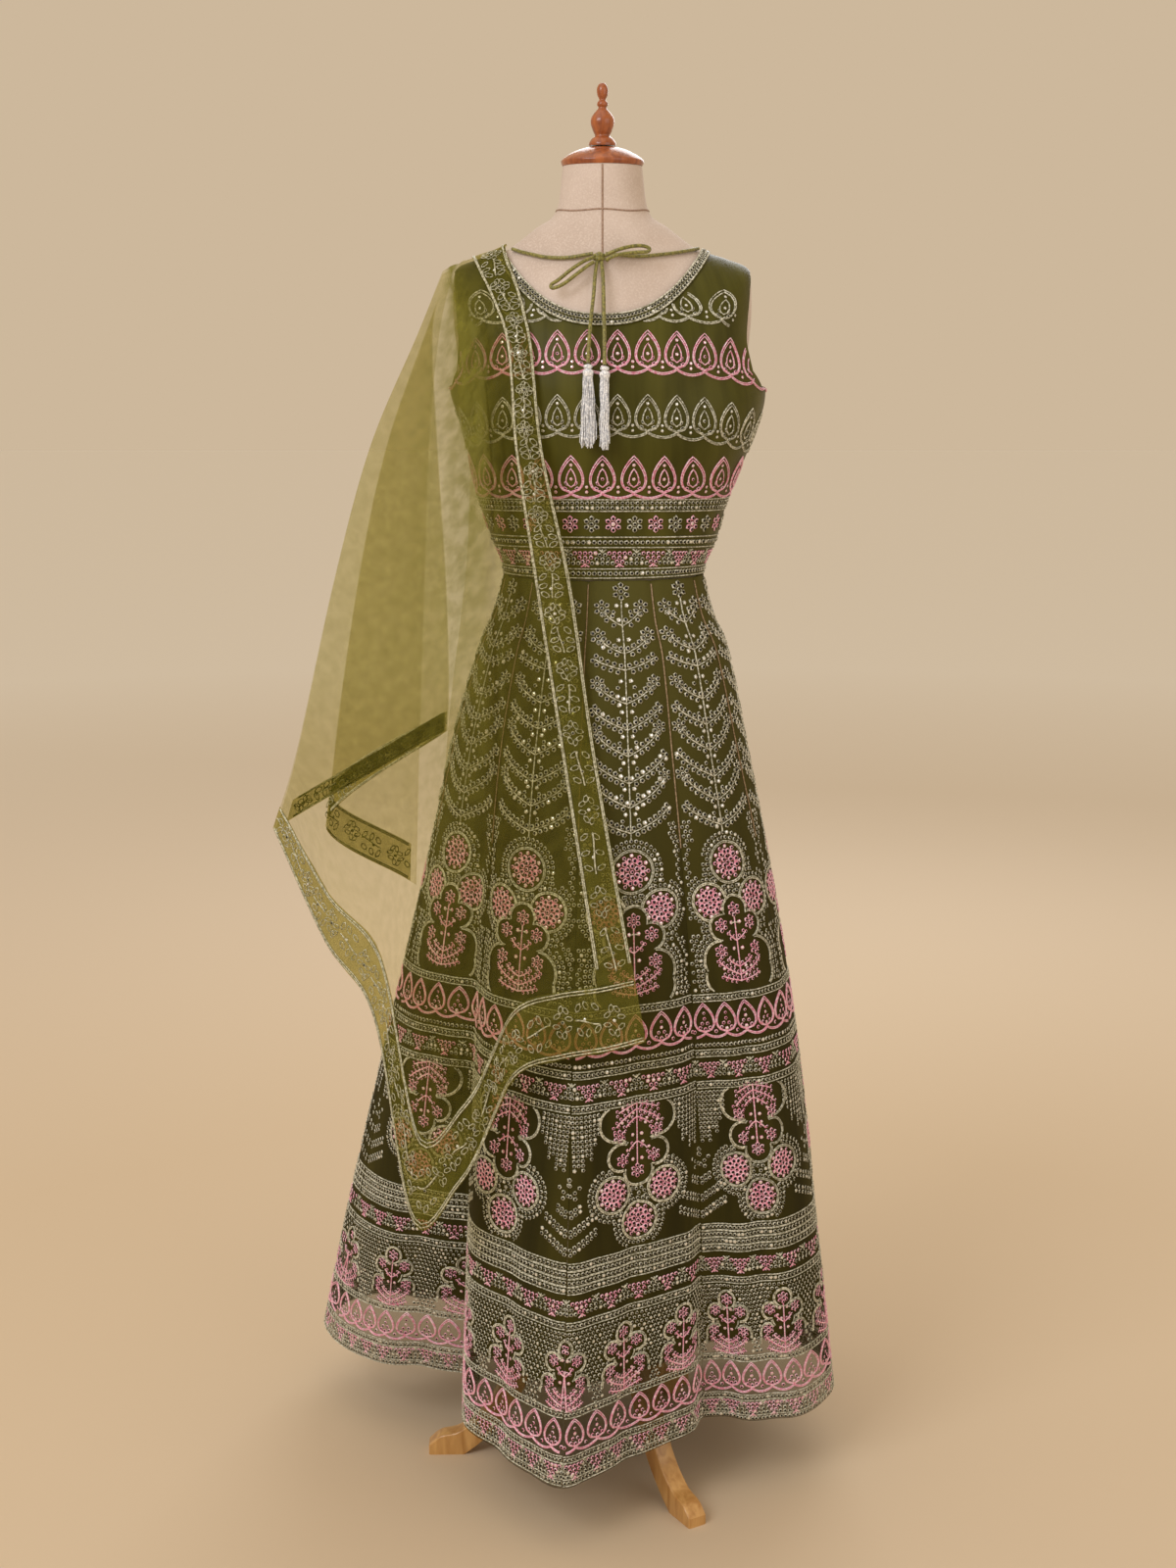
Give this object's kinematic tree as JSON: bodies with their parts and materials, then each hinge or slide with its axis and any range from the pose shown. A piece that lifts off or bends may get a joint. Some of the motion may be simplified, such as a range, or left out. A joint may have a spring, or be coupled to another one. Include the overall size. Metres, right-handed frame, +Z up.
{
  "type": "anarkali bridesmaid dress with its matching stole on a limbless tripod dress form",
  "caption": "Olive sleeveless anarkali bridesmaid gown with a matching sheer stole, on a linen dress form with a wooden tripod stand.",
  "frame": {"origin": "centre of the bounding box in plan, on the floor under the feet", "axes": "+Z up along the stand; -Y towards the viewer, who sees the back of the dress; +X to the viewer's right"},
  "size_m": [0.6766, 0.5838, 1.65],
  "materials": {
    "linen_cover": "woven linen",
    "varnished_wood": "varnished",
    "honey_wood": "satin varnish",
    "olive_satin": "satin weave",
    "olive_net_over_lining": "fine net over a plain lining",
    "neck_lace": "corded lace",
    "sheer_olive_net": "soft sheer net",
    "stole_border": "embroidered net",
    "olive_cord": "twisted cord",
    "silver_thread": "metallic thread"
  },
  "bodies": {
    "root": {"bodice_back": "olive_satin", "bodice_front": "olive_satin", "waist_band_back": "olive_satin", "waist_band_front": "olive_satin", "neck_trim_back": "neck_lace", "neck_trim_front": "neck_lace", "skirt_panel_01": "olive_net_over_lining", "skirt_panel_02": "olive_net_over_lining", "skirt_panel_03": "olive_net_over_lining", "skirt_panel_04": "olive_net_over_lining", "skirt_panel_05": "olive_net_over_lining", "skirt_panel_06": "olive_net_over_lining", "skirt_panel_07": "olive_net_over_lining", "skirt_panel_08": "olive_net_over_lining", "skirt_panel_09": "olive_net_over_lining", "skirt_panel_10": "olive_net_over_lining", "stole_back": "sheer_olive_net", "stole_side": "sheer_olive_net", "stole_front": "sheer_olive_net", "stole_back_side_border": "stole_border", "stole_back_end_border": "stole_border", "stole_side_end_border_1": "stole_border", "stole_side_end_border_2": "stole_border", "stole_side_end_border_3": "stole_border", "stole_front_side_border": "stole_border", "stole_front_end_border": "stole_border", "tie_span_left": "olive_cord", "tie_span_right": "olive_cord", "tie_knot": "olive_cord", "bow_loop_left": "olive_cord", "bow_loop_right": "olive_cord", "tie_tail_left": "olive_cord", "tie_tail_right": "olive_cord", "tassel_left": "silver_thread", "tassel_right": "silver_thread", "form_torso": "linen_cover", "neck_cap": "varnished_wood", "finial": "varnished_wood", "pole": "honey_wood", "hub": "honey_wood", "leg_1": "honey_wood", "leg_2": "honey_wood", "leg_3": "honey_wood"}
  },
  "joints": []
}
